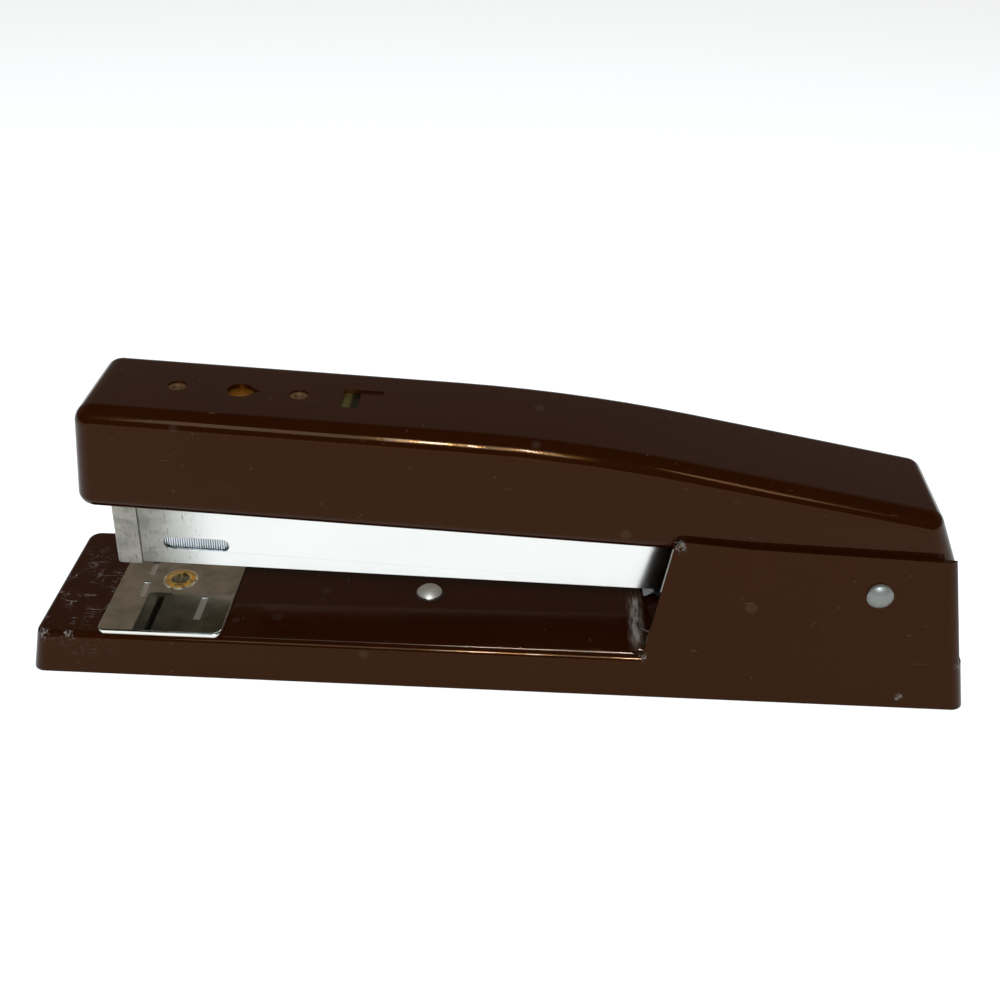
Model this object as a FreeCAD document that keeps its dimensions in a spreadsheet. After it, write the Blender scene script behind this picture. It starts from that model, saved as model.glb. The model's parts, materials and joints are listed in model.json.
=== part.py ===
import FreeCAD, Part
import os
import re

import Sketcher

# Full-strip desk stapler, in millimetres.
# X runs along the stapler with its nose at -X, Y across it, +Z up from the desk.
# The origin is the centre of the base's footprint, at desk level.
# The magazine and the cover are drawn level in a frame of their own, whose origin
# is the main pivot, and each is then tipped nose-up about that pivot to its rest angle.

SIZES = {
    # base: a drawn sheet-steel tray with two ears at the rear
    "base_length": 197.0,
    "base_width": 40.7,
    "base_sheet": 1.1,
    "rim_lift": 0.4,            # the steel rim stands this far above the desk
    "plate_top": 9.6,
    "side_draft": 9.4,
    "end_draft": 9.4,
    "corner_radius": 3.0,
    "plate_edge_radius": 1.4,
    # ears
    "ear_length": 67.6,         # foot of the ears' front edge to the rear end of the base
    "ear_lean": 11.0,
    "ear_peak": 36.0,           # height of the ears' front corner
    "ear_dip_run": 15.0,        # the top edge falls faster over this first stretch
    "ear_dip": 34.9,
    "ear_rear_height": 33.6,
    "ear_corner_radius": 2.2,
    "floor_step": 0.7,          # pressed-up floor between the ears
    "floor_ramp": 1.4,
    "ramp_lead": 1.0,           # top of the ramp ahead of the ears' front edge
    "window_front": 14.2,       # rear window in the floor, before and behind the pivot
    "window_rear": 13.8,
    "window_half": 14.2,
    # rubber sole in the tray
    "sole_height": 3.0,
    "sole_gap": 0.3,
    "sole_boss_radius": 4.0,
    "sole_boss_inset": 14.5,    # front bosses from the front end
    "sole_boss_gap": 15.1,      # rear bosses behind the ears' front edge
    "sole_boss_half": 10.5,
    "screw_radius": 1.5,
    "screw_head_radius": 2.8,
    "screw_head_height": 1.6,
    "screw_recess": 0.4,        # heads above the desk
    "thread_depth": 0.3,
    # main pivot
    "pivot_inset": 20.8,        # pivot to the rear end of the base
    "pivot_z": 25.8,
    "pin_radius": 2.0,
    "pin_head_radius": 2.7,
    "pin_head_height": 1.5,
    "pin_dome_spread": 1.35,    # foot of the round head, inside the ear, over its radius
    "running_gap": 0.06,
    "washer_radius": 3.6,
    "spacer_radius": 3.2,
    "side_gap": 0.1,
    "ear_gap": 0.15,            # cover to ear, at the ears' peak
    # anvil, turning on a post that lifts against a spring
    "anvil_length": 26.4,
    "anvil_margin": 0.4,        # plate showing at each side of the anvil
    "anvil_sheet": 1.0,
    "anvil_gap": 0.05,
    "anvil_corner": 1.6,
    "groove_offset": 7.0,
    "groove_length": 5.6,
    "groove_width": 1.5,
    "groove_depth": 0.5,
    "groove_inner": 1.2,        # the closing grooves start this far from the middle
    "groove_outer": 5.8,        # the pinning grooves start this far from the middle
    "pinning_length": 8.0,
    "eyelet_radius": 3.85,
    "eyelet_bore": 1.95,
    "eyelet_wall": 0.5,
    "eyelet_lip": 0.5,
    "post_gap": 0.08,
    "post_recess": 0.25,
    "button_radius": 6.0,
    "button_low": 3.2,
    "button_height": 2.2,
    "anvil_spring_radius": 4.2,
    "anvil_spring_wire": 0.7,
    # stop button, a round-headed rivet in the middle of the base
    "stop_x": -15.1,
    "stop_radius": 3.1,
    "stop_height": 1.9,
    "stop_shank": 1.6,
    # lift spring, a leaf between the ears that holds the magazine up
    "spring_strip": 0.6,
    "lift_length": 26.4,
    "lift_rise_run": 7.4,
    "lift_tip_gap": 2.7,        # tip behind the ears' front edge
    "lift_width": 9.0,
    "lift_lip_length": 2.9,     # lip turned down at the tip
    "lift_lip_angle": 41.0,
    "rivet_radius": 1.5,
    "rivet_head_radius": 2.4,
    "rivet_head_height": 0.8,
    # magazine, drawn about the pivot
    "magazine_tilt": 1.0,
    "drive_inset": 20.93,       # line of the driven staple to the front end of the base
    "nose_wall": 2.9,           # from that line to the magazine's front
    "magazine_low": 8.0,
    "magazine_high": 9.5,
    "magazine_rear": 8.5,
    "channel_sheet": 0.6,
    "drive_slot": 1.5,
    "cap_sheet": 0.5,
    "cap_length": 5.4,
    "cap_corner": 1.2,
    "slot_inset": 9.8,
    "slot_length": 14.0,
    "slot_low": 4.4,
    "slot_height": 3.0,
    # staples: 26/6 wire, 12.7 mm crown
    "staple_half": 6.35,
    "staple_wire": 0.5,
    "staple_gap": 0.15,
    "staple_leg": 6.0,
    "strip_length": 58.0,
    "fit_gap": 0.25,
    # feed
    "rail_rear": 20.0,
    "front_rivet_inset": 30.0,  # rail rivets, from the driven staple and from the rail's end
    "rear_rivet_inset": 8.0,
    "follower_length": 14.0,
    "follower_high": 4.2,
    "follower_travel": 50.0,
    "rod_radius": 0.9,
    "rod_height": 1.9,
    "rod_head_height": 1.5,
    "feed_spring_radius": 2.1,
    "bracket_thickness": 2.0,
    "bracket_rear": 14.0,
    "bracket_drop": 1.0,        # bracket below the channel's rim
    # cover, drawn about the pivot
    "cover_tilt": 2.5,
    "cover_overhang": 8.7,      # from the driven staple to the cover's front foot
    "cover_lean": 3.3,
    "cover_low": 4.35,
    "cover_high": 27.5,
    "cover_sheet": 1.0,
    "bend_start": 88.0,
    "bend_radius": 350.0,
    "tail_slope": 8.0,
    "tail_end": 10.1,
    "rear_foot": 15.8,
    "rear_foot_height": 5.0,
    "lobe_half": 8.5,
    "lobe_top_half": 13.0,
    "lobe_depth": 5.5,
    "cover_edge_radius": 3.8,
    "cover_toe_radius": 3.0,
    # openings in the cover's top, measured from the cover's front foot
    "front_peep_inset": 19.1,
    "spear_inset": 32.0,
    "rear_peep_inset": 43.9,
    "peep_radius": 1.9,
    "spear_radius": 2.7,
    "spear_point": 4.2,
    "lance_inset": 52.8,
    "lance_length": 3.4,
    "lance_half": 3.8,
    "lance_tab": 4.6,
    "lance_press": 0.45,
    # driver
    "blade_thickness": 0.5,
    "blade_gap": 0.2,
    "crown_clearance": 1.1,     # blade above the staples' crowns at rest
    "carrier_sheet": 0.8,
    "carrier_margin": 2.8,      # carrier's edge in from the roof's rounded side
    "carrier_lip": 1.0,         # carrier ahead of the blade
    "rivet_recess": 0.35,       # hollow rivets below the cover's top
    "carrier_length": 60.0,
    "carrier_flange_low": 15.0,
    # return spring between cover and magazine
    "return_half": 4.0,
    "return_overlap": 12.0,
    "return_tip": 46.0,
    "return_bend_gap": 1.0,
    "return_lip_run": 4.0,
    "return_lip_rise": 1.2,
}

# Places and sizes that follow from those above.
DERIVED = {
    "pivot_x": "(base_length / 2 - pivot_inset)",
    "ear_front": "(base_length / 2 - ear_length)",
    "sole_boss_front": "(sole_boss_inset - base_length / 2)",
    "sole_boss_rear": "(ear_front + sole_boss_gap)",
    # cover and washers fill the space between the ears
    "cover_half": "(base_width / 2 - (ear_peak - rim_lift) * tan(side_draft) - base_sheet - ear_gap)",
    "washer_height": "(base_width / 2 - (pivot_z + washer_radius - rim_lift) * tan(side_draft)"
                     " - base_sheet - cover_half - 2 * side_gap)",
    # the driven staple falls over the anvil's closing grooves
    "drive_line": "((base_length - pivot_inset - drive_inset) / cos(magazine_tilt))",
    "anvil_x": "(drive_inset + groove_offset - base_length / 2)",
    "anvil_width": "(base_width - 2 * (plate_top - rim_lift) * tan(side_draft) - 2 * anvil_margin)",
    "lift_tip": "(ear_front + lift_tip_gap)",
    "lift_bend": "(lift_tip + lift_rise_run)",
    "lift_rear": "(lift_tip + lift_length)",
    # the magazine fits round the staples
    "magazine_front": "(drive_line + nose_wall)",
    "slot_front": "(magazine_front - slot_inset)",
    "channel_half": "(staple_half + staple_gap + channel_sheet)",
    "cover_front": "(drive_line + cover_overhang)",
    "peep_front": "(cover_front - front_peep_inset)",
    "peep_middle": "(cover_front - spear_inset)",
    "peep_rear": "(cover_front - rear_peep_inset)",
    "lance_front": "(cover_front - lance_inset)",
    # the blade hangs square to the cover, over the front staple
    "blade_half": "(staple_half - blade_gap)",
    "blade_low": "(drive_line * sin(cover_tilt - magazine_tilt) + magazine_low - channel_sheet"
                 " - fit_gap - staple_leg - crown_clearance)",
    "carrier_half": "(cover_half - cover_edge_radius - carrier_margin)",
    "carrier_rear": "(drive_line - carrier_length)",
    "return_front": "(carrier_rear + return_overlap)",
}

doc = FreeCAD.newDocument("stapler")
sheet = doc.addObject("Spreadsheet::Sheet", "Sizes")
for row, (alias, size) in enumerate(SIZES.items(), start=1):
    sheet.set("A%d" % row, alias.replace("_", " "))
    sheet.set("B%d" % row, str(size))
    sheet.setAlias("B%d" % row, alias)
doc.recompute()

# The frames that pieces stand in.
AT_PIVOT = "placement(vector(pivot_x; 0; pivot_z); rotation(vector(0; 1; 0); %s))"
BASE_FRAME = None
MAGAZINE_FRAME = AT_PIVOT % "magazine_tilt"
COVER_FRAME = AT_PIVOT % "cover_tilt"
ALONG_X = FreeCAD.Rotation(FreeCAD.Vector(0, 1, 0), 90)
ALONG_Y = FreeCAD.Rotation(FreeCAD.Vector(1, 0, 0), -90)
UPRIGHT = FreeCAD.Rotation()

subparts = []


def with_sizes(expression):
    """The expression with each size's alias written the way the document's objects read it."""
    def spell(word):
        if word[0] in DERIVED:
            return with_sizes(DERIVED[word[0]])
        return "Sizes." + word[0] if word[0] in SIZES else word[0]

    return re.sub(r"[a-z]\w*", spell, expression)


def number(expression):
    return float(sheet.evalExpression(with_sizes(expression)))


def keep(item, name, frame):
    """Hand a finished piece over as a sub-part, standing in its frame."""
    item.Label = name
    if frame:
        item.setExpression("Placement", with_sizes(frame))
    subparts.append(item)
    return item


# ---- Part primitives and booleans -------------------------------------------------------
# A tool that cuts starts 1 mm before the faces it cuts through and ends 1 mm past them.

def primitive(kind, at, turn, sizes):
    item = doc.addObject("Part::" + kind, kind)
    item.Placement = FreeCAD.Placement(FreeCAD.Vector(), turn)
    for size_name, expression in sizes.items():
        item.setExpression(size_name, with_sizes(expression))
    for axis, expression in zip("xyz", at):
        item.setExpression("Placement.Base." + axis, with_sizes(expression))
    return item


def block(low, size):
    """A box from its low corner and its three sizes."""
    sizes = {"Length": size[0], "Width": size[1], "Height": size[2]}
    return primitive("Box", low, UPRIGHT, sizes)


def rod(foot, radius, height, turn=UPRIGHT):
    """A round bar that starts at its foot and runs along +Z, or along the turned axis."""
    return primitive("Cylinder", foot, turn, {"Radius": radius, "Height": height})


def joined(*items):
    item = doc.addObject("Part::MultiFuse", "Joined")
    item.Shapes = list(items)
    return item


def cut(base, *tools):
    item = doc.addObject("Part::Cut", "Cut")
    item.Base = base
    item.Tool = joined(*tools) if len(tools) > 1 else tools[0]
    return item


def overlap(one, other):
    item = doc.addObject("Part::Common", "Common")
    item.Base = one
    item.Tool = other
    return item


def dome(foot, radius, height, turn=UPRIGHT):
    """A low round head: the cap of a ball, standing on its flat side at the foot."""
    ball_radius = "((%s) ^ 2 + (%s) ^ 2) / (2 * (%s))" % (radius, height, height)
    ball = primitive("Sphere", ("0", "0", "(%s) - %s" % (height, ball_radius)), UPRIGHT,
                     {"Radius": ball_radius})
    cap = overlap(ball, rod(("0", "0", "0"), radius, height))
    cap.Placement = FreeCAD.Placement(FreeCAD.Vector(), turn)
    for axis, expression in zip("xyz", foot):
        cap.setExpression("Placement.Base." + axis, with_sizes(expression))
    return cap


# ---- PartDesign bodies ------------------------------------------------------------------

def new_body(name):
    return doc.addObject("PartDesign::Body", name)


def origin_plane(body, role):
    return next(item for item in body.Origin.OriginFeatures if item.Role == role)


def outline(body, role, loops):
    """A sketch on one of the body's origin planes, made of closed loops of corners.

    Each corner is two expressions. A corner with two more, the centre of a circle, starts
    an arc to the next corner, and that corner then gives only its first expression.
    """
    sketch = body.newObject("Sketcher::SketchObject", "Outline")
    sketch.AttachmentSupport = [(origin_plane(body, role), "")]
    sketch.MapMode = "FlatFace"
    for corners in loops:
        add_loop(sketch, corners)
    return sketch


def corner_points(corners):
    points = []
    for index, corner in enumerate(corners):
        across = number(corner[0])
        if corner[1] is None:
            start = points[-1]
            centre = FreeCAD.Vector(number(corners[index - 1][2]), number(corners[index - 1][3]), 0)
            radius = start.distanceToPoint(centre)
            up = centre.y + (radius ** 2 - (across - centre.x) ** 2) ** 0.5
        else:
            up = number(corner[1])
        points.append(FreeCAD.Vector(across, up, 0))
    return points


def add_loop(sketch, corners):
    points = corner_points(corners)
    count = len(points)
    first = sketch.GeometryCount
    starts = []
    ends = []
    for index, corner in enumerate(corners):
        here = points[index]
        after = points[(index + 1) % count]
        if len(corner) == 4:
            centre = FreeCAD.Vector(number(corner[2]), number(corner[3]), 0)
            circle = Part.Circle(centre, FreeCAD.Vector(0, 0, 1), here.distanceToPoint(centre))
            # a sketch's arc runs anticlockwise, so this one starts at the later corner
            arc = Part.ArcOfCircle(circle, circle.parameter(after), circle.parameter(here))
            sketch.addGeometry(arc, False)
            pin_point(sketch, first + index, 3, corner[2], corner[3])
            starts.append(2)
            ends.append(1)
        else:
            sketch.addGeometry(Part.LineSegment(here, after), False)
            starts.append(1)
            ends.append(2)
    for index in range(count):
        after = (index + 1) % count
        sketch.addConstraint(Sketcher.Constraint("Coincident", first + index, ends[index],
                                                 first + after, starts[after]))
    for index, corner in enumerate(corners):
        pin_point(sketch, first + index, starts[index], corner[0], corner[1])


def pin_point(sketch, geometry, point, across, up):
    """Hold a sketch point at the distances that two expressions give."""
    for kind, expression in (("DistanceX", across), ("DistanceY", up)):
        if expression is not None:
            constraint = Sketcher.Constraint(kind, -1, 1, geometry, point, number(expression))
            index = sketch.addConstraint(constraint)
            sketch.setExpression("Constraints[%d]" % index, with_sizes(expression))


def extrude(body, kind, sketch, length):
    """A Pad or Pocket that runs half its length to each side of the sketch."""
    feature = body.newObject("PartDesign::" + kind, kind)
    feature.Profile = sketch
    feature.SideType = "Symmetric"
    feature.setExpression("Length", with_sizes(length))
    doc.recompute()
    body.Tip = feature
    return feature


def pad(body, role, loops, length):
    return extrude(body, "Pad", outline(body, role, loops), length)


def pocket(body, role, loops, length):
    """A pocket, which has to take some material away."""
    before = body.Shape.Volume
    feature = extrude(body, "Pocket", outline(body, role, loops), length)
    if body.Shape.Volume > before - 1e-6:
        raise RuntimeError(body.Name + ": a pocket cuts nothing")
    return feature


def fillet(body, radius, wanted):
    """Round the edges of the body for which wanted(edge) holds."""
    doc.recompute()
    tip = body.Tip
    names = ["Edge%d" % (index + 1) for index, edge in enumerate(tip.Shape.Edges) if wanted(edge)]
    if not names:
        raise RuntimeError(body.Name + ": no edges to round")
    feature = body.newObject("PartDesign::Fillet", "Fillet")
    feature.Base = (tip, names)
    feature.setExpression("Radius", with_sizes(radius))
    doc.recompute()
    if not feature.isValid():
        raise RuntimeError(body.Name + ": a fillet of " + radius + " fails")
    body.Tip = feature
    return feature


def box_loop(left, low, right, high):
    return [(left, low), (right, low), (right, high), (left, high)]


def spans(edge, axis):
    """How far an edge runs along X, Y or Z."""
    box = edge.BoundBox
    return {"x": box.XLength, "y": box.YLength, "z": box.ZLength}[axis]


def at(first, second):
    return abs(first - second) < 1e-4


# ---- base -------------------------------------------------------------------------------

FAR = "4 * base_length"
HALF_BASE = "base_length / 2"
FLOOR_TOP = "(plate_top + floor_step)"
PLATE_UNDERSIDE = "(plate_top - base_sheet)"


def side_y(height, inset="0"):
    """Where the sloping side of the base stands at a height, less an inset."""
    return ("(base_width / 2 - ((%s) - rim_lift) * tan(side_draft) - (%s))"
            % (height, inset))


def side_wedges(top):
    """The two loops outside the base's sloping sides, up to a height."""
    loops = []
    for sign in ("", "- "):
        loops.append([(sign + "(base_width / 2)", "rim_lift"),
                      (sign + "(base_width / 2 + 1)", "rim_lift"),
                      (sign + "(base_width / 2 + 1)", top),
                      (sign + side_y(top), top)])
    return loops


def make_base_shell():
    body = new_body("base_shell_block")
    plate_run = "(plate_top - rim_lift) * tan(end_draft)"
    # the tray, with sloping ends and sides and a soft edge round its top
    pad(body, "XZ_Plane", [[("- " + HALF_BASE, "rim_lift"),
                            (HALF_BASE, "rim_lift"),
                            (HALF_BASE + " - " + plate_run, "plate_top"),
                            ("- " + HALF_BASE + " + " + plate_run, "plate_top")]], "base_width")
    pocket(body, "YZ_Plane", side_wedges("plate_top"), FAR)
    front_x = number("- " + HALF_BASE + " + " + plate_run)
    fillet(body, "corner_radius",
           lambda edge: spans(edge, "z") > 1 and edge.BoundBox.XMax < front_x + 0.1)
    plate_z = number("plate_top")
    fillet(body, "plate_edge_radius",
           lambda edge: at(edge.BoundBox.ZMin, plate_z) and at(edge.BoundBox.ZMax, plate_z)
           and edge.BoundBox.XMin < 0)
    # the ears, drawn as one block from rim to peak and then parted by the space between them
    rear_run = "(ear_rear_height - rim_lift) * tan(end_draft)"
    foot_run = "(plate_top - rim_lift) * tan(ear_lean)"
    peak_run = "(ear_peak - plate_top) * tan(ear_lean)"
    pad(body, "XZ_Plane", [[("ear_front - " + foot_run, "rim_lift"),
                            (HALF_BASE, "rim_lift"),
                            (HALF_BASE + " - " + rear_run, "ear_rear_height"),
                            ("ear_front + " + peak_run + " + ear_dip_run", "ear_dip"),
                            ("ear_front + " + peak_run, "ear_peak")]], "base_width")
    pocket(body, "YZ_Plane", side_wedges("ear_peak + 1"), FAR)
    rear_x = number(HALF_BASE)
    fillet(body, "corner_radius",
           lambda edge: spans(edge, "z") > 20 and edge.BoundBox.XMax > rear_x - 0.1)
    peak_z = number("ear_peak")
    fillet(body, "ear_corner_radius",
           lambda edge: spans(edge, "y") > 5 and at(edge.BoundBox.ZMin, peak_z))
    gap_top = "ear_peak + 2"
    low_y = side_y(FLOOR_TOP, "base_sheet")
    high_y = side_y(gap_top, "base_sheet")
    pocket(body, "YZ_Plane", [[("- " + low_y, FLOOR_TOP), (low_y, FLOOR_TOP),
                               (high_y, gap_top), ("- " + high_y, gap_top)]], FAR)
    # the hollow under the plate
    hollow_low = "rim_lift - 1"
    bottom_y = side_y(hollow_low, "base_sheet")
    roof_y = side_y(PLATE_UNDERSIDE, "base_sheet")
    hollow = new_body("base_hollow")
    pad(hollow, "XZ_Plane",
        [[("- " + HALF_BASE + " + base_sheet - tan(end_draft)", hollow_low),
          (HALF_BASE + " - base_sheet + tan(end_draft)", hollow_low),
          (HALF_BASE + " - base_sheet - " + plate_run, PLATE_UNDERSIDE),
          ("- " + HALF_BASE + " + base_sheet + " + plate_run, PLATE_UNDERSIDE)]], "base_width")
    pocket(hollow, "YZ_Plane",
           [[(sign + bottom_y, hollow_low), (sign + "base_width", hollow_low),
             (sign + "base_width", PLATE_UNDERSIDE), (sign + roof_y, PLATE_UNDERSIDE)]
            for sign in ("", "- ")], FAR)
    hollow_end = number("- " + HALF_BASE + " + base_sheet + " + plate_run)
    fillet(hollow, "corner_radius - base_sheet",
           lambda edge: spans(edge, "z") > 1 and (edge.BoundBox.XMin < hollow_end + 0.1
                                                  or edge.BoundBox.XMax > - hollow_end - 0.1))
    # the floor between the ears is pressed up a little, behind a ramp
    floor_part = new_body("base_floor")
    floor_half = side_y(FLOOR_TOP, "base_sheet + sole_gap")
    pad(floor_part, "XZ_Plane",
        [[("ear_front - ramp_lead - floor_ramp", "plate_top"),
          (HALF_BASE + " - " + plate_run + " - corner_radius", "plate_top"),
          (HALF_BASE + " - " + plate_run + " - corner_radius", FLOOR_TOP),
          ("ear_front - ramp_lead", FLOOR_TOP)]], "2 * " + floor_half)
    full = joined(body, floor_part)
    window = block(("pivot_x - window_front", "- window_half", "rim_lift + sole_height"),
                   ("window_front + window_rear", "2 * window_half", "plate_top"))
    pivot_holes = rod(("pivot_x", "- base_width", "pivot_z"), "pin_radius + running_gap / 2",
                      "2 * base_width", ALONG_Y)
    post_hole = rod(("anvil_x", "0", "rim_lift"), "eyelet_bore", "plate_top")
    stop_hole = rod(("stop_x", "0", "rim_lift"), "stop_shank + running_gap / 2", "plate_top")
    rivet_hole = rod((LIFT_RIVET_X, "0", "rim_lift"), "rivet_radius + running_gap / 2",
                     "plate_top + floor_step")
    screw_holes = [rod((x, y, "rim_lift"), "screw_radius - thread_depth",
                       "plate_top - base_sheet / 4 - rim_lift")
                   for x, y in SOLE_BOSSES]
    shell = cut(full, hollow, window, pivot_holes, post_hole, stop_hole, rivet_hole, *screw_holes)
    return keep(shell, "base_shell", BASE_FRAME)


LIFT_RIVET_X = "((lift_rear + lift_bend) / 2)"
SOLE_BOSSES = [(x, y) for x in ("sole_boss_front", "sole_boss_rear")
               for y in ("- sole_boss_half", "sole_boss_half")]


def make_base_sole():
    """Rubber pad that fills the foot of the tray, held by four bosses."""
    body = new_body("base_sole_block")
    inset = "(base_sheet + sole_gap + sole_height * tan(end_draft))"
    half_x = "(base_length / 2 - " + inset + ")"
    half_y = "(base_width / 2 - " + inset + ")"
    pad(body, "XY_Plane", [box_loop("- " + half_x, "- " + half_y, half_x, half_y)],
        "2 * sole_height")
    fillet(body, "corner_radius", lambda edge: spans(edge, "z") > 1)
    above = block(("- base_length", "- base_width", "0"),
                  ("2 * base_length", "2 * base_width", "sole_height"))
    slab = overlap(body, above)
    bosses = [rod((x, y, "0"), "sole_boss_radius", PLATE_UNDERSIDE) for x, y in SOLE_BOSSES]
    finger_hole = rod(("anvil_x", "0", "- 1"), "button_radius + 1", "sole_height + 2")
    head_wells = [rod((x, y, "- 1"), "screw_head_radius + sole_gap", "1 + screw_head_height + screw_recess")
                  for x, y in SOLE_BOSSES]
    shank_wells = [rod((x, y, "- 1"), "screw_radius + running_gap", "plate_top + 2")
                   for x, y in SOLE_BOSSES]
    return keep(cut(joined(slab, *bosses), finger_hole, *head_wells, *shank_wells),
                "base_sole", BASE_FRAME)


def make_sole_screws():
    """Four screws that draw the sole up against the plate."""
    screws = []
    for x, y in SOLE_BOSSES:
        head = rod((x, y, "screw_recess"), "screw_head_radius", "screw_head_height")
        shank = rod((x, y, "screw_recess"), "screw_radius - thread_depth",
                    PLATE_UNDERSIDE + " + base_sheet / 2 - screw_recess")
        screws.append(joined(head, shank))
    return keep(joined(*screws), "sole_screws", BASE_FRAME)


def make_stop_button():
    head = dome(("stop_x", "0", "plate_top"), "stop_radius", "stop_height")
    shank = rod(("stop_x", "0", PLATE_UNDERSIDE + " - rivet_head_height"), "stop_shank",
                "base_sheet + rivet_head_height + stop_height / 3")
    tail = rod(("stop_x", "0", PLATE_UNDERSIDE + " - rivet_head_height"), "rivet_head_radius",
               "rivet_head_height")
    return keep(joined(head, shank, tail), "stop_button", BASE_FRAME)


def magazine_underside(x):
    """Height of the magazine's underside over a place on the base, at rest."""
    return ("(pivot_z - magazine_low / cos(magazine_tilt) + (pivot_x - (%s)) "
            "* tan(magazine_tilt))" % x)


def make_lift_spring():
    """Leaf spring: flat on the floor, rising forwards to the magazine's underside."""
    body = new_body("lift_spring_block")
    touch = magazine_underside("lift_tip") + " - side_gap"
    rise = "(%s - %s - spring_strip)" % (touch, FLOOR_TOP)
    steep_sheet = "(spring_strip * sqrt(1 + (%s / lift_rise_run) ^ 2))" % rise
    foot_run = "((%s - %s - %s) * lift_rise_run / %s)" % (touch, steep_sheet, FLOOR_TOP, rise)
    lip_x = "lift_tip - lift_lip_length * cos(lift_lip_angle)"
    lip_z = touch + " - lift_lip_length * sin(lift_lip_angle)"
    pad(body, "XZ_Plane",
        [[("lift_rear", FLOOR_TOP),
          ("lift_rear", FLOOR_TOP + " + spring_strip"),
          ("lift_bend", FLOOR_TOP + " + spring_strip"),
          ("lift_tip", touch),
          (lip_x, lip_z),
          (lip_x + " + spring_strip * sin(lift_lip_angle)",
           lip_z + " - spring_strip * cos(lift_lip_angle)"),
          ("lift_tip", touch + " - " + steep_sheet),
          ("lift_tip + " + foot_run, FLOOR_TOP)]], "lift_width")
    hole = rod((LIFT_RIVET_X, "0", "plate_top"), "rivet_radius + running_gap / 2", "plate_top")
    return keep(cut(body, hole), "lift_spring", BASE_FRAME)


def make_lift_rivet():
    low = PLATE_UNDERSIDE + " - rivet_head_height"
    tail = rod((LIFT_RIVET_X, "0", low), "rivet_head_radius", "rivet_head_height")
    shank = rod((LIFT_RIVET_X, "0", low), "rivet_radius",
                "1.5 * rivet_head_height + base_sheet + floor_step + spring_strip")
    head = dome((LIFT_RIVET_X, "0", FLOOR_TOP + " + spring_strip"), "rivet_head_radius",
                "rivet_head_height")
    return keep(joined(tail, shank, head), "lift_spring_rivet", BASE_FRAME)


# ---- main pivot -------------------------------------------------------------------------

def make_pivot_pin():
    """Rivet through the ears, its round heads shaped to the ears' slope."""
    reach = side_y("pivot_z")
    head_foot = "(%s - base_sheet)" % reach
    head_top = "(base_sheet + pin_head_height)"
    shaft = rod(("pivot_x", "- " + reach, "pivot_z"), "pin_radius", "2 * " + reach, ALONG_Y)
    heads = []
    for sign, turn in (("", ALONG_Y), ("- ", FreeCAD.Rotation(FreeCAD.Vector(1, 0, 0), 90))):
        foot = ("pivot_x", sign + head_foot, "pivot_z")
        heads.append(dome(foot, "pin_dome_spread * pin_head_radius", head_top, turn))
    rounding = rod(("pivot_x", "- base_width", "pivot_z"), "pin_head_radius", "2 * base_width",
                   ALONG_Y)
    # everything inside the ears' outer faces is taken off the heads
    core = new_body("ear_core")
    low_z = "(pivot_z - 2 * pin_head_radius)"
    high_z = "(pivot_z + 2 * pin_head_radius)"
    pad(core, "YZ_Plane", [[("- " + side_y(low_z), low_z), (side_y(low_z), low_z),
                            (side_y(high_z), high_z), ("- " + side_y(high_z), high_z)]], FAR)
    caps = cut(overlap(joined(*heads), rounding), core)
    return keep(joined(shaft, caps), "pivot_pin", BASE_FRAME)


def ring_pair(inner_y, height, outer_radius):
    """Two rings on the main pin, one each side, starting at a distance from the middle."""
    rings = []
    for start in (inner_y, "- (%s) - (%s)" % (inner_y, height)):
        ring = rod(("pivot_x", start, "pivot_z"), outer_radius, height, ALONG_Y)
        hole = rod(("pivot_x", start + " - 1", "pivot_z"), "pin_radius + running_gap / 2",
                   "2 + " + height, ALONG_Y)
        rings.append(cut(ring, hole))
    return joined(*rings)


def make_pivot_rings():
    keep(ring_pair("cover_half + side_gap", "washer_height", "washer_radius"),
         "pivot_washers", BASE_FRAME)
    inner = "channel_half + side_gap"
    height = "(cover_half - cover_sheet - channel_half - 2 * side_gap)"
    keep(ring_pair(inner, height, "spacer_radius"), "pivot_spacers", BASE_FRAME)


# ---- anvil ------------------------------------------------------------------------------

ANVIL_LOW = "(plate_top + anvil_gap)"
ANVIL_TOP = "(plate_top + anvil_gap + anvil_sheet)"


def make_anvil_plate():
    """Square-cornered plate with closing grooves at one end and pinning grooves at the other."""
    body = new_body("anvil_plate_block")
    half_x = "anvil_length / 2"
    half_y = "anvil_width / 2"
    pad(body, "XY_Plane", [box_loop("anvil_x - " + half_x, "- " + half_y,
                                    "anvil_x + " + half_x, half_y)], "2 * " + ANVIL_TOP)
    fillet(body, "anvil_corner", lambda edge: spans(edge, "z") > 1)
    anvil_z = number(ANVIL_TOP)
    fillet(body, "anvil_sheet / 3", lambda edge: at(edge.BoundBox.ZMin, anvil_z))
    below = block(("anvil_x - anvil_length", "- anvil_width", "- base_width"),
                  ("2 * anvil_length", "2 * anvil_width", "base_width + " + ANVIL_LOW))
    hole = rod(("anvil_x", "0", "0"), "eyelet_bore + eyelet_wall", "2 * plate_top")
    grooves = []
    rows = (("anvil_x - groove_offset", "groove_inner", "groove_length"),
            ("anvil_x + groove_offset", "groove_outer", "pinning_length"))
    for row_x, start, length in rows:
        for low in (start, "- (%s + %s)" % (start, length)):
            grooves.append(block((row_x + " - groove_width / 2", low, ANVIL_TOP + " - groove_depth"),
                                 ("groove_width", length, "anvil_sheet")))
    return keep(cut(body, below, hole, *grooves), "anvil_plate", BASE_FRAME)


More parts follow.
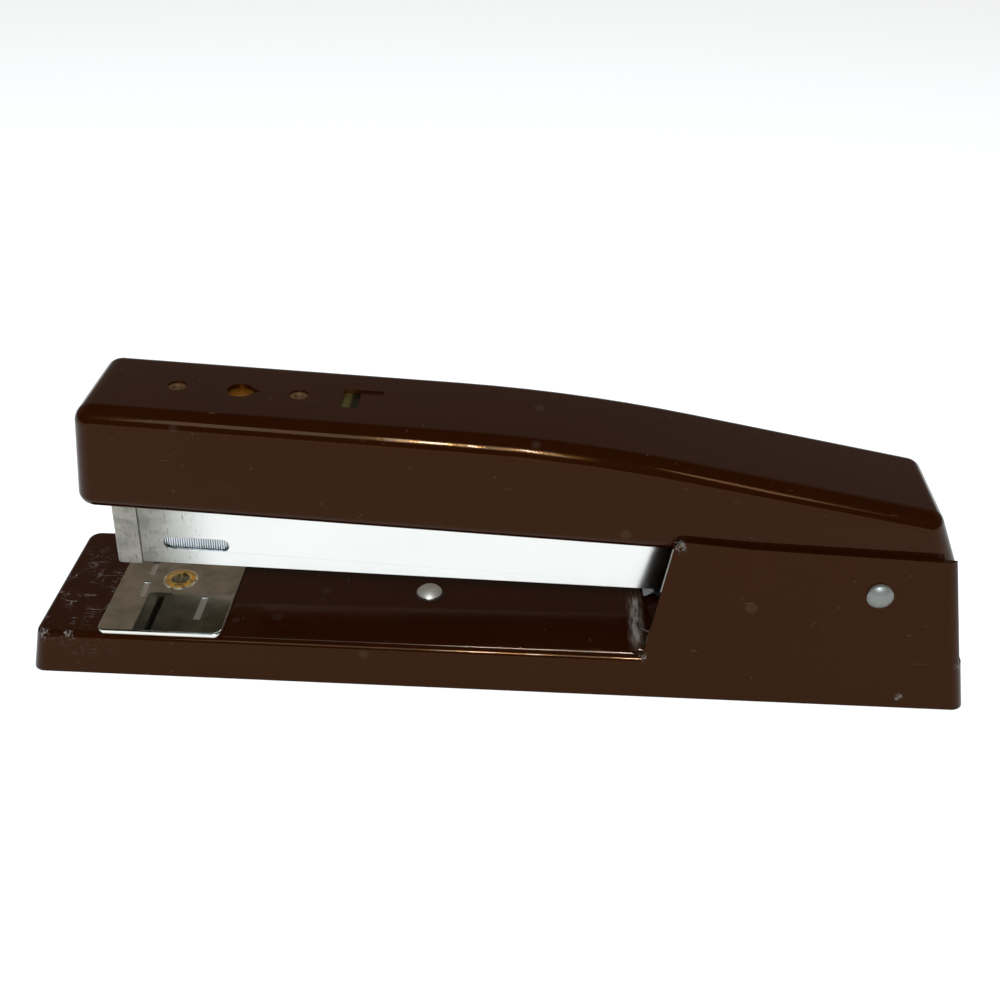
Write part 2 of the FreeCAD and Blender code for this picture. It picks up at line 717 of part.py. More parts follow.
def make_anvil_eyelet():
    """Rolled eyelet set in the plate, round the post."""
    lip = dome(("anvil_x", "0", ANVIL_TOP), "eyelet_radius", "eyelet_lip")
    wall = rod(("anvil_x", "0", ANVIL_LOW), "eyelet_bore + eyelet_wall", "anvil_sheet + eyelet_lip / 2")
    bore = rod(("anvil_x", "0", "0"), "eyelet_bore", "2 * plate_top")
    return keep(cut(joined(lip, wall), bore), "anvil_eyelet", BASE_FRAME)


def make_anvil_button():
    """Post with a finger button under the base; pushed up, it frees the anvil to turn."""
    button = rod(("anvil_x", "0", "button_low"), "button_radius", "button_height")
    top = ANVIL_TOP + " - post_recess"
    post = rod(("anvil_x", "0", "button_low"), "eyelet_bore - post_gap", top + " - button_low")
    return keep(joined(button, post), "anvil_button", BASE_FRAME)


def make_anvil_spring():
    """Coil spring round the post, drawn as the tube that the coils fill."""
    low = "(button_low + button_height + sole_gap / 2)"
    height = "(%s - sole_gap / 2 - %s)" % (PLATE_UNDERSIDE, low)
    outer = rod(("anvil_x", "0", low), "anvil_spring_radius", height)
    inner = rod(("anvil_x", "0", "0"), "anvil_spring_radius - anvil_spring_wire", "plate_top")
    return keep(cut(outer, inner), "anvil_spring", BASE_FRAME)


# ---- magazine, about the pivot ----------------------------------------------------------

FLOOR_Z = "(channel_sheet - magazine_low)"
LEG_LOW = "(channel_sheet - magazine_low + fit_gap)"
CROWN_TOP = "(channel_sheet - magazine_low + fit_gap + staple_leg)"
RAIL_FRONT = "(drive_line - drive_slot / 2)"
STRIP_REAR = "(drive_line - drive_slot / 2 - strip_length)"


def make_magazine_channel():
    """Steel channel, open at its top, with a viewing slot near the nose on each side."""
    body = new_body("magazine_channel_block")
    pad(body, "XZ_Plane", [box_loop("- magazine_front", "- magazine_low",
                                    "magazine_rear", "magazine_high")], "2 * channel_half")
    rear_x = number("magazine_rear")
    fillet(body, "magazine_rear / 2",
           lambda edge: spans(edge, "y") > 5 and at(edge.BoundBox.XMin, rear_x))
    inner = "(channel_half - channel_sheet)"
    pocket(body, "YZ_Plane", [box_loop("- " + inner, FLOOR_Z, inner, "2 * magazine_high")], FAR)
    pocket(body, "XZ_Plane", [box_loop("- slot_front", "- slot_low", "slot_length - slot_front",
                                       "slot_height - slot_low")], FAR)
    slot_x = (number("- slot_front"), number("slot_length - slot_front"))
    # just under half the height, so that the ends come out round
    fillet(body, "slot_height * 0.49",
           lambda edge: at(edge.Length, number("channel_sheet")) and spans(edge, "y") > 0.1
           and (at(edge.BoundBox.XMin, slot_x[0]) or at(edge.BoundBox.XMin, slot_x[1])))
    pin_hole = rod(("0", "- base_width", "0"), "pin_radius + running_gap", "2 * base_width", ALONG_Y)
    exit_slot = block(("- drive_line - drive_slot / 2", "- " + inner, "- magazine_low - 1"),
                      ("drive_slot", "2 * " + inner, "2"))
    feet = [rod((x, "0", "- magazine_low - 1"), "rivet_radius + running_gap / 2", "2")
            for x in RAIL_RIVETS]
    return keep(cut(body, pin_hole, exit_slot, *feet), "magazine_channel", MAGAZINE_FRAME)


RAIL_RIVETS = ("- drive_line + front_rivet_inset", "- drive_line / 2",
               "- rail_rear - rear_rivet_inset")


def make_blade_guide():
    """Steel block at the nose that the driver blade slides down behind."""
    body = new_body("blade_guide_block")
    back = "(drive_line + drive_slot / 2)"
    pad(body, "XZ_Plane", [box_loop("- magazine_front", FLOOR_Z, "- " + back, "magazine_high")],
        "2 * (channel_half - channel_sheet - side_gap)")
    return keep(body, "blade_guide", MAGAZINE_FRAME)


def make_nose_cap():
    """Thin polished cap folded round the front of the channel."""
    body = new_body("nose_cap_block")
    outer = "(channel_half + cap_sheet)"
    front = "(magazine_front + cap_sheet)"
    pad(body, "XY_Plane", [box_loop("- " + front, "- " + outer, "cap_length - " + front, outer)],
        "4 * magazine_low")
    front_x = number("- " + front)
    fillet(body, "cap_corner",
           lambda edge: spans(edge, "z") > 5 and at(edge.BoundBox.XMin, front_x))
    heights = block(("- 2 * magazine_front", "- base_width", "- magazine_low - cap_sheet / 2"),
                    ("2 * magazine_front", "2 * base_width",
                     "magazine_high + magazine_low + cap_sheet / 2"))
    wrap = "(channel_half + side_gap / 4)"
    hollow = block(("- magazine_front", "- " + wrap, "- 2 * magazine_low"),
                   ("magazine_front", "2 * " + wrap, "4 * magazine_low"))
    return keep(cut(overlap(body, heights), hollow), "nose_cap", MAGAZINE_FRAME)


def make_staple_rail():
    """Inverted channel that the staples straddle."""
    half = "(staple_half - staple_wire - fit_gap)"
    top = "(%s - staple_wire - fit_gap / 2)" % CROWN_TOP
    outer = block(("- " + RAIL_FRONT, "- " + half, FLOOR_Z),
                  (RAIL_FRONT + " - rail_rear", "2 * " + half, top + " - " + FLOOR_Z))
    inner = block(("- " + RAIL_FRONT + " - 1", "- %s + channel_sheet" % half, FLOOR_Z + " - 1"),
                  (RAIL_FRONT + " - rail_rear + 2", "2 * (%s - channel_sheet)" % half,
                   "%s - %s + 1 - channel_sheet" % (top, FLOOR_Z)))
    return keep(cut(outer, inner), "staple_rail", MAGAZINE_FRAME)


def make_rail_rivets():
    """Three rivets through the channel's floor, which locate the rail between them."""
    rivets = []
    for x in RAIL_RIVETS:
        shank = rod((x, "0", "- magazine_low - rivet_head_height / 4"), "rivet_radius",
                    "channel_sheet + rivet_head_height / 2")
        head = rod((x, "0", FLOOR_Z), "rivet_head_radius", "rivet_head_height")
        rivets.append(joined(shank, head))
    return keep(joined(*rivets), "rail_rivets", MAGAZINE_FRAME)


def make_staple_strip():
    """Part-used strip of staples, ending just behind the drive slot."""
    length = "(strip_length - fit_gap)"
    outer = block(("- " + RAIL_FRONT, "- staple_half", LEG_LOW), (length, "2 * staple_half", "staple_leg"))
    inner = block(("- " + RAIL_FRONT + " - 1", "- staple_half + staple_wire", LEG_LOW + " - 1"),
                  (length + " + 2", "2 * (staple_half - staple_wire)",
                   "staple_leg - staple_wire + 1"))
    return keep(cut(outer, inner), "staple_strip", MAGAZINE_FRAME)


def make_follower():
    """Pusher that straddles the rail behind the staples."""
    half = "(channel_half - channel_sheet - fit_gap)"
    rail_half = "(staple_half - staple_wire - fit_gap / 2)"
    rail_top = "(%s - staple_wire)" % CROWN_TOP
    low = "(%s + fit_gap)" % LEG_LOW
    outer = block(("- " + STRIP_REAR, "- " + half, low),
                  ("follower_length", "2 * " + half, "follower_high - " + low))
    saddle = block(("- " + STRIP_REAR + " - 1", "- " + rail_half, low + " - 1"),
                   ("follower_length + 2", "2 * " + rail_half, "%s - %s + 1" % (rail_top, low)))
    bore = rod(("- " + STRIP_REAR + " - 1", "0", "rod_height"), "rod_radius + running_gap",
               "follower_length + 2", ALONG_X)
    return keep(cut(outer, saddle, bore), "follower", MAGAZINE_FRAME)


BRACKET_FRONT = "(bracket_rear + bracket_thickness)"
ROD_FRONT = "(drive_line - drive_slot / 2 - strip_length + follower_travel / 4)"


def make_rear_bracket():
    """Cross plate between the channel's walls that holds the rod and backs the spring."""
    half = "(channel_half - channel_sheet)"
    plate = block(("- " + BRACKET_FRONT, "- " + half, FLOOR_Z),
                  ("bracket_thickness", "2 * " + half, "magazine_high - bracket_drop - " + FLOOR_Z))
    bore = rod(("- " + BRACKET_FRONT + " - 1", "0", "rod_height"), "rod_radius + running_gap / 2",
               "bracket_thickness + 2", ALONG_X)
    return keep(cut(plate, bore), "rear_bracket", MAGAZINE_FRAME)


def make_feed_rod():
    """Guide rod, headed behind the bracket and running forward through the follower."""
    tail = "(bracket_rear - rod_head_height)"
    shaft = rod(("- " + ROD_FRONT, "0", "rod_height"), "rod_radius", ROD_FRONT + " - " + tail,
                ALONG_X)
    head = rod(("- bracket_rear", "0", "rod_height"), "2 * rod_radius", "rod_head_height", ALONG_X)
    return keep(joined(shaft, head), "feed_rod", MAGAZINE_FRAME)


def make_feed_spring():
    """Long coil spring on the rod, drawn as the tube that the coils fill."""
    front = "(%s - follower_length - fit_gap)" % STRIP_REAR
    length = "(%s - %s - fit_gap)" % (front, BRACKET_FRONT)
    outer = rod(("- " + front, "0", "rod_height"), "feed_spring_radius", length, ALONG_X)
    inner = rod(("- " + front + " - 1", "0", "rod_height"), "rod_radius + fit_gap",
                length + " + 2", ALONG_X)
    return keep(cut(outer, inner), "feed_spring", MAGAZINE_FRAME)


# ---- cover, about the pivot -------------------------------------------------------------

BEND_DROP = "bend_radius * (1 - cos(tail_slope))"
BEND_END = "(- bend_start + bend_radius * sin(tail_slope))"


def cover_block(name, sheet_in, low_points):
    """The cover's outline as a solid block, drawn in by a thickness on its walls."""
    body = new_body(name)
    top = "(cover_high - (%s))" % sheet_in
    tail_x = "(tail_end - (%s))" % sheet_in
    tail_z = "(%s - %s - (%s - %s) * tan(tail_slope))" % (top, BEND_DROP, tail_x, BEND_END)
    lean_run = "(cover_high - cover_low) * tan(cover_lean)"
    corners = [("- cover_front + " + lean_run + " + (%s)" % sheet_in, top),
               ("- bend_start", top, "- bend_start", "cover_high - bend_radius"),
               (BEND_END, None),
               (tail_x, tail_z)] + low_points
    pad(body, "XZ_Plane", [corners], "2 * (cover_half - (%s))" % sheet_in)
    nose_x = number("- cover_front + " + lean_run)
    tail = number(tail_x)
    roof_foot = number(tail_z) - 1e-3

    def on_rim(edge):
        """The roof's long edges, its two ends, and the upright corners below them."""
        box = edge.BoundBox
        at_end = box.XMax < nose_x + 2 or box.XMin > tail - 1e-3
        upright = at_end and spans(edge, "z") > 5 and spans(edge, "y") < 0.01
        roof_end = at_end and spans(edge, "y") > 5 and box.ZMin > roof_foot
        roof_side = spans(edge, "x") > 20 and spans(edge, "y") < 0.01 and box.ZMin > roof_foot
        return upright and box.ZMax > roof_foot or roof_end or roof_side

    fillet(body, "cover_edge_radius - (%s)" % sheet_in, on_rim)
    return body


def make_cover_shell():
    """Sheet-steel cover: roof, two sides with lobes round the pin, and closed ends."""
    outer = cover_block("cover_outer", "0", [("rear_foot", "rear_foot_height"),
                                             ("lobe_half", "- lobe_depth"),
                                             ("- lobe_half", "- lobe_depth"),
                                             ("- lobe_top_half", "cover_low"),
                                             ("- cover_front", "cover_low")])
    toe_x = number("- cover_front")
    fillet(outer, "cover_toe_radius",
           lambda edge: spans(edge, "y") > number("cover_half") and at(edge.BoundBox.XMin, toe_x))
    # the slanting rear wall is a tenth thicker when measured along X
    inner_foot = "(rear_foot - cover_sheet * 1.1)"
    inner = cover_block("cover_inner", "cover_sheet", [(inner_foot, "rear_foot_height"),
                                                       (inner_foot, "- 2 * lobe_depth"),
                                                       ("- cover_front + cover_sheet", "- 2 * lobe_depth"),
                                                       ("- cover_front + cover_sheet", "cover_low")])
    top_low = "cover_high - 3 * cover_sheet"
    deep = "6 * cover_sheet"
    peeps = [rod(("- " + x, "0", top_low), "peep_radius", deep) for x in ("peep_front", "peep_rear")]
    spear = rod(("- peep_middle", "0", top_low), "spear_radius", deep)
    point = new_body("spear_point")
    pad(point, "XY_Plane", [[("- peep_middle", "- spear_radius"),
                             ("- peep_middle + spear_point", "0"),
                             ("- peep_middle", "spear_radius")]], "2 * " + top_low + " + 2 * " + deep)
    lance = block(("- lance_front", "- lance_half", top_low), ("lance_length", "2 * lance_half", deep))
    press = block(("- lance_front + lance_length", "- lance_half", "cover_high - lance_press"),
                  ("lance_tab", "2 * lance_half", deep))
    pin_hole = rod(("0", "- base_width", "0"), "pin_radius + running_gap", "2 * base_width", ALONG_Y)
    shell = cut(outer, inner, pin_hole, spear, point, lance, press, *peeps)
    return keep(shell, "cover_shell", COVER_FRAME)


ROOF = "(cover_high - cover_sheet)"


def make_driver_carrier():
    """Plated strip riveted under the roof, turned down at the nose to hold the blade."""
    body = new_body("driver_carrier_block")
    blade_back = "(- drive_line + blade_thickness / 2)"
    front = "(- drive_line - blade_thickness / 2 - carrier_lip)"
    under = "(%s - carrier_sheet)" % ROOF
    pad(body, "XZ_Plane",
        [[(front, ROOF), ("- carrier_rear", ROOF), ("- carrier_rear", under),
          (blade_back + " + carrier_sheet", under),
          (blade_back + " + carrier_sheet", "carrier_flange_low"),
          (blade_back, "carrier_flange_low"), (blade_back, under), (front, under)]],
        "2 * carrier_half")
    rivet_holes = [rod(("- " + x, "0", under + " - 1"), "peep_radius", "carrier_sheet + 2")
                   for x in ("peep_front", "peep_rear")]
    return keep(cut(body, *rivet_holes), "driver_carrier", COVER_FRAME)


def make_driver_blade():
    """Hardened blade that drives one staple out at each stroke."""
    body = new_body("driver_blade_block")
    pad(body, "XZ_Plane",
        [box_loop("- drive_line - blade_thickness / 2", "- blade_low",
                  "- drive_line + blade_thickness / 2", "%s - carrier_sheet" % ROOF)],
        "2 * blade_half")
    return keep(body, "driver_blade", COVER_FRAME)


def make_driver_rivets():
    """Two hollow rivets that hold the carrier to the roof, seen in the round holes."""
    rivets = []
    low = "(%s - carrier_sheet - rivet_head_height)" % ROOF
    for x in ("peep_front", "peep_rear"):
        tail = rod(("- " + x, "0", low), "rivet_head_radius", "rivet_head_height")
        shank = rod(("- " + x, "0", low), "peep_radius - running_gap / 2",
                    "rivet_head_height + carrier_sheet + cover_sheet - rivet_recess")
        bore = rod(("- " + x, "0", low + " - 1"), "peep_radius / 2",
                   "rivet_head_height + carrier_sheet + 3")
        rivets.append(cut(joined(tail, shank), bore))
    return keep(joined(*rivets), "driver_rivets", COVER_FRAME)


def make_return_spring():
    """Leaf from the lanced window down to the magazine, which holds the cover up."""
    body = new_body("return_spring")
    under = "(%s - carrier_sheet)" % ROOF
    rise = "(cover_tilt - magazine_tilt)"
    touch = "(magazine_high / cos(%s) - return_tip * tan(%s) + side_gap)" % (rise, rise)
    bend = "- carrier_rear - return_bend_gap"
    lip = "- return_tip + return_lip_run"
    pad(body, "XZ_Plane",
        [[("- return_front", under), (bend, under),
          ("- return_tip", touch + " + spring_strip"),
          (lip, touch + " + return_lip_rise + spring_strip"),
          (lip, touch + " + return_lip_rise"),
          ("- return_tip", touch),
          (bend + " - spring_strip / 2", under + " - spring_strip"),
          ("- return_front", under + " - spring_strip")]], "2 * return_half")
    return keep(body, "return_spring", COVER_FRAME)


for make in (make_base_shell, make_base_sole, make_sole_screws, make_stop_button,
             make_lift_spring, make_lift_rivet, make_pivot_pin, make_pivot_rings,
             make_anvil_plate, make_anvil_eyelet, make_anvil_button, make_anvil_spring,
             make_magazine_channel, make_blade_guide, make_nose_cap, make_staple_rail,
             make_rail_rivets, make_staple_strip, make_follower, make_rear_bracket,
             make_feed_rod, make_feed_spring, make_cover_shell, make_driver_carrier,
             make_driver_blade, make_driver_rivets, make_return_spring):
    make()

doc.recompute()
failed = [item.Label for item in doc.Objects
          if "Invalid" in item.State or "Error" in item.State]
if failed:
    raise RuntimeError("these objects failed: " + ", ".join(failed))
for item in subparts:
    if item.Shape.isNull() or not item.Shape.isValid() or not item.Shape.Solids:
        raise RuntimeError(item.Label + " is not a sound solid")

os.makedirs("parts", exist_ok=True)
for item in subparts:
    item.Shape.exportStep("parts/%s.step" % item.Label)
    print("%-18s %2d solid(s) %10.1f mm3" % (item.Label, len(item.Shape.Solids), item.Shape.Volume))
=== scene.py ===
"""The stapler's looks: finishes, wound springs, staples, screws, camera, lamps and floor."""
import json
import math
import random

import bpy
from mathutils import Matrix, Vector


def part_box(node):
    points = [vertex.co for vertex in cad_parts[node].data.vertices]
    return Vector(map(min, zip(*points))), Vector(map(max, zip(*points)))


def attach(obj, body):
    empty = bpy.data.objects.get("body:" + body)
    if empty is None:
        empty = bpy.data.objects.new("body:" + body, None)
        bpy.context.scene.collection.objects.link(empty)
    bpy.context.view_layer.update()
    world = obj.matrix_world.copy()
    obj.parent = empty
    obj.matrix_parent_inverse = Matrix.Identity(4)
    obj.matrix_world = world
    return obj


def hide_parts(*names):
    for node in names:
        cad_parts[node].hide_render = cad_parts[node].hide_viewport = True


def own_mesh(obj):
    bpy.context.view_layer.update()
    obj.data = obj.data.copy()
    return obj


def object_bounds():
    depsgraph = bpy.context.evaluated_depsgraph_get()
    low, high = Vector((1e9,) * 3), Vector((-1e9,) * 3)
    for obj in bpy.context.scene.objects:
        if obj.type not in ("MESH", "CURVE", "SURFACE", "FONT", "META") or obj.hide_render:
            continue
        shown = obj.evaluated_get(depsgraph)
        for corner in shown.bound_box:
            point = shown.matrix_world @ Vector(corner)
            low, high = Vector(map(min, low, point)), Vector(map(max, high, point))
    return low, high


MM = 0.001

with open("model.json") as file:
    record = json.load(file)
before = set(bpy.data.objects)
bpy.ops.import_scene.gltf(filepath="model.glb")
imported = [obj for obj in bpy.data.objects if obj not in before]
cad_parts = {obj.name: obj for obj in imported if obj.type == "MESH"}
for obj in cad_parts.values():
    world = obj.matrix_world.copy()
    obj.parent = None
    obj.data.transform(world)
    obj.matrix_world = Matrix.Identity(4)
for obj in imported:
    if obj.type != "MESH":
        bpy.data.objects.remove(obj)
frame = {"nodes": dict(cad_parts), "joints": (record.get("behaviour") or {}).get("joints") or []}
cad_low, cad_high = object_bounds()
NODES = frame["nodes"]
JOINTS = {joint["name"]: joint for joint in frame["joints"]}


# ---------------------------------------------------------------- finishes

class Finish:
    """A material whose nodes measure in millimetres of the object's own frame."""

    def __init__(self, name, **sockets):
        self.material = bpy.data.materials.new(name)
        self.material.use_nodes = True
        self.tree = self.material.node_tree
        self.shader = self.tree.nodes["Principled BSDF"]
        for socket, value in sockets.items():
            self.shader.inputs[socket.replace("_", " ")].default_value = value
        place = self.tree.nodes.new("ShaderNodeTexCoord")
        self.place = self.vector("SCALE", place.outputs["Object"], scale=1 / MM)
        self.bumps = None

    def feed(self, socket, value):
        if isinstance(value, bpy.types.NodeSocket):
            self.tree.links.new(value, socket)
        else:
            socket.default_value = value

    def vector(self, operation, first, second=None, scale=None):
        node = self.tree.nodes.new("ShaderNodeVectorMath")
        node.operation = operation
        self.feed(node.inputs[0], first)
        if second is not None:
            self.feed(node.inputs[1], second)
        if scale is not None:
            self.feed(node.inputs["Scale"], scale)
        return node.outputs["Value" if operation == "DISTANCE" else "Vector"]

    def axis(self, letter):
        """The place along X, Y or Z, in millimetres."""
        parts = self.tree.nodes.new("ShaderNodeSeparateXYZ")
        self.feed(parts.inputs[0], self.place)
        return parts.outputs[letter]

    def combine(self, operation, first, second=0.0):
        node = self.tree.nodes.new("ShaderNodeMath")
        node.operation = operation
        self.feed(node.inputs[0], first)
        self.feed(node.inputs[1], second)
        return node.outputs[0]

    def times(self, *values):
        """The product of two or more values."""
        product = values[0]
        for value in values[1:]:
            product = self.combine("MULTIPLY", product, value)
        return product

    def step(self, value, low, high):
        """0 below low and 1 above high, eased between; high may be the smaller one."""
        node = self.tree.nodes.new("ShaderNodeMapRange")
        node.interpolation_type = "SMOOTHSTEP"
        self.feed(node.inputs["Value"], value)
        node.inputs["From Min"].default_value = min(low, high)
        node.inputs["From Max"].default_value = max(low, high)
        node.inputs["To Min"].default_value = 0.0 if low < high else 1.0
        node.inputs["To Max"].default_value = 1.0 if low < high else 0.0
        return node.outputs["Result"]

    def band(self, letter, middle, outer, inner):
        """1 within inner millimetres of a place along an axis, easing to 0 at outer; middle in metres."""
        offset = self.combine("SUBTRACT", self.axis(letter), middle / MM)
        return self.step(self.combine("ABSOLUTE", offset), outer, inner)

    def span(self, value, low, high):
        """Scales a 0 to 1 value into low to high."""
        node = self.tree.nodes.new("ShaderNodeMapRange")
        self.feed(node.inputs["Value"], value)
        node.inputs["To Min"].default_value = low
        node.inputs["To Max"].default_value = high
        return node.outputs["Result"]

    def turned(self, angle):
        """The place, turned about Y, so that what is stretched on it runs aslant."""
        node = self.tree.nodes.new("ShaderNodeVectorRotate")
        node.rotation_type = "Y_AXIS"
        self.feed(node.inputs["Vector"], self.place)
        node.inputs["Angle"].default_value = math.radians(angle)
        return node.outputs["Vector"]

    def noise(self, size, stretch=(1, 1, 1), detail=3.0, roughness=0.5, place=None):
        """Noise whose grain is about size millimetres, longer along the stretched axes."""
        node = self.tree.nodes.new("ShaderNodeTexNoise")
        squeezed = self.vector("DIVIDE", place or self.place, [size * s for s in stretch])
        self.feed(node.inputs["Vector"], squeezed)
        node.inputs["Scale"].default_value = 1.0
        node.inputs["Detail"].default_value = detail
        node.inputs["Roughness"].default_value = roughness
        return node.outputs["Fac"]

    def specks(self, spacing, size, share):
        """Round specks of about size millimetres, in a share of the cells of a spacing grid."""
        cells = self.tree.nodes.new("ShaderNodeTexVoronoi")
        self.feed(cells.inputs["Vector"], self.vector("DIVIDE", self.place, [spacing] * 3))
        cells.inputs["Scale"].default_value = 1.0
        chosen = self.tree.nodes.new("ShaderNodeSeparateColor")
        self.feed(chosen.inputs["Color"], cells.outputs["Color"])
        round_speck = self.step(cells.outputs["Distance"], size / spacing, size / spacing / 2)
        kept_cell = self.step(chosen.outputs["Red"], 1 - share, 1 - share + 0.01)
        return self.times(round_speck, kept_cell)

    def near(self, point, reach):
        """1 at a point given in metres, easing to 0 at reach millimetres."""
        distance = self.vector("DISTANCE", self.place, [c / MM for c in point])
        return self.step(distance, reach, 0.0)

    def mix(self, factor, first, second):
        node = self.tree.nodes.new("ShaderNodeMix")
        node.data_type = "RGBA"
        self.feed(node.inputs["Factor"], factor)
        for letter, colour in (("A", first), ("B", second)):
            sockets = [s for s in node.inputs if s.name == letter and s.type == "RGBA"]
            self.feed(sockets[0], colour if isinstance(colour, bpy.types.NodeSocket) else (*colour, 1))
        return [s for s in node.outputs if s.type == "RGBA"][0]

    def raise_by(self, height, distance):
        """Adds a bump of distance millimetres under those already there."""
        node = self.tree.nodes.new("ShaderNodeBump")
        node.inputs["Distance"].default_value = distance * MM
        self.feed(node.inputs["Height"], height)
        if self.bumps is not None:
            self.feed(node.inputs["Normal"], self.bumps)
        self.bumps = node.outputs["Normal"]
        self.feed(self.shader.inputs["Normal"], self.bumps)

    def set(self, socket, value):
        self.feed(self.shader.inputs[socket], value)


# the enamel's colours
DEEP_BROWN = (0.0155, 0.003, 0.0006)
WARM_BROWN = (0.0195, 0.004, 0.0008)
DUST = (0.13, 0.1, 0.075)
SMEAR = (0.1, 0.07, 0.05)
RUBBED = (0.22, 0.18, 0.16)
CREASE_WORN = (0.26, 0.21, 0.17)
HAIRLINE = (0.14, 0.1, 0.07)
PRIMER = (0.1, 0.075, 0.06)
BARE_STEEL = (0.25, 0.22, 0.19)
SHEEN_TINT = (1.0, 0.42, 0.1, 1)
RUBBED_REACH = 21


def rubbing(paint):
    """Crossed scratches and scuffs, in patches, on the plate ahead of the anvil."""
    patches = paint.step(paint.noise(4.5, detail=2), 0.46, 0.62)
    scratches = paint.step(paint.noise(0.45, (6, 0.8, 1), detail=3), 0.6, 0.68)
    crossing = paint.step(paint.noise(0.5, (0.8, 5, 1), detail=3), 0.63, 0.7)
    scuffs = paint.step(paint.noise(1.1, detail=6, roughness=0.8), 0.55, 0.66)
    marks = paint.combine("MAXIMUM", paint.combine("MAXIMUM", scratches, crossing), scuffs)
    return paint.times(marks, patches, paint.near(PLATE_FRONT, RUBBED_REACH))


def crease_wear(paint):
    """Wear along the crease of the plate ahead of the ears."""
    along = paint.band("X", CREASE.x, 2.1, 0.0)
    across = paint.band("Y", CREASE.y, 11, 5)
    height = paint.band("Z", CREASE.z, 1.6, 0.8)
    streaks = paint.step(paint.noise(0.9, (0.5, 3.5, 1), detail=4), 0.3, 0.75)
    return paint.times(along, across, height, streaks)


def hairlines(paint):
    """Hairline scratches, level and aslant, in a few places."""
    places = paint.step(paint.noise(14, detail=1), 0.52, 0.66)
    level = paint.step(paint.noise(0.35, (14, 14, 1.2), detail=1), 0.75, 0.79)
    slant = paint.step(paint.noise(0.35, (9, 9, 1.2), detail=1, place=paint.turned(38)), 0.74, 0.79)
    return paint.times(paint.combine("MAXIMUM", level, slant), places)


def chipping(paint, ragged):
    """Chips with a ragged edge, at the places in CHIPS."""
    chips = 0.0
    for point, reach in CHIPS:
        place = paint.near(point, 1.5 * reach)
        edge = paint.step(paint.combine("ADD", place, ragged), 0.62, 0.74)
        chips = paint.combine("MAXIMUM", chips, paint.times(edge, paint.step(place, 0, 0.3)))
    return chips


def enamel():
    """Gloss brown enamel with orange peel, dust, smudges, scratches and chipped corners."""
    paint = Finish("brown_enamel", Specular_IOR_Level=0.17, Coat_Weight=0.075, Coat_Roughness=0.03)
    paint.shader.inputs["Specular Tint"].default_value = SHEEN_TINT
    dust = paint.specks(spacing=2.7, size=0.2, share=0.2)
    blots = paint.specks(spacing=9, size=1.6, share=0.22)
    smears = paint.times(blots, paint.noise(0.9, detail=4, roughness=0.7))
    rubbed = rubbing(paint)
    ragged = paint.span(paint.noise(0.55, detail=6, roughness=0.75), -2.4, 2.4)
    chips = chipping(paint, ragged)
    colour = paint.mix(paint.noise(16, detail=2), DEEP_BROWN, WARM_BROWN)
    colour = paint.mix(paint.times(dust, 0.5), colour, DUST)
    colour = paint.mix(paint.times(smears, 0.3), colour, SMEAR)
    colour = paint.mix(paint.times(rubbed, 0.85), colour, RUBBED)
    colour = paint.mix(crease_wear(paint), colour, CREASE_WORN)
    colour = paint.mix(paint.times(hairlines(paint), 0.3), colour, HAIRLINE)
    bared = paint.mix(ragged, PRIMER, BARE_STEEL)
    paint.set("Base Color", paint.mix(chips, colour, bared))
    smudge = paint.step(paint.noise(8, (1.7, 1, 1), detail=3), 0.45, 0.75)
    rough = paint.combine("MAXIMUM", paint.span(smudge, 0.07, 0.15), paint.times(rubbed, 0.5))
    paint.set("Roughness", paint.combine("MAXIMUM", rough, paint.times(chips, 0.55)))
    paint.raise_by(paint.noise(1.5, detail=1), 0.01)
    paint.raise_by(paint.times(chips, -1.0), 0.06)
    return paint


def steel(name, colour, roughness, grain, lustre=1.0):
    """Bare metal with drawn lines along the grain and faint stains."""
    metal = Finish(name, Metallic=lustre)
    lines = metal.noise(0.2, grain, detail=2)
    stain = metal.noise(5, detail=4)
    dark = [c * 0.78 for c in colour]
    mottled = metal.mix(metal.step(stain, 0.35, 0.8), colour, dark)
    metal.set("Base Color", metal.mix(metal.step(lines, 0.62, 0.8), mottled, [c * 0.6 for c in colour]))
    metal.set("Roughness", metal.span(stain, roughness * 0.75, roughness * 1.35))
    metal.raise_by(lines, 0.004)
    return metal


def nose_steel(name, bright, dull):
    """Drawn steel, bright along its length and dulled and scratched by handling at the nose."""
    metal = Finish(name, Metallic=1.0)
    handled = metal.step(metal.axis("X"), NOSE_X / MM + 24, NOSE_X / MM + 6)
    lines = metal.noise(0.22, ALONG, detail=2)
    cloud = metal.noise(3.2, (1.4, 1, 1), detail=5, roughness=0.62)
    soft = metal.noise(14, (2.5, 1, 1), detail=2)
    worn = metal.mix(metal.step(cloud, 0.35, 0.7), dull, [c * 0.62 for c in dull])
    clean = metal.mix(soft, bright, [c * 0.9 for c in bright])
    colour = metal.mix(handled, clean, worn)
    scratch = metal.step(metal.noise(0.3, (1, 1, 7), detail=1), 0.66, 0.72)
    scratch = metal.times(scratch, handled)
    metal.set("Base Color", metal.mix(scratch, colour, [c * 0.45 for c in dull]))
    rough = metal.combine("ADD", metal.span(handled, 0.14, 0.4), metal.span(cloud, -0.04, 0.06))
    metal.set("Roughness", rough)
    metal.raise_by(lines, 0.004)
    metal.raise_by(scratch, 0.01)
    return metal


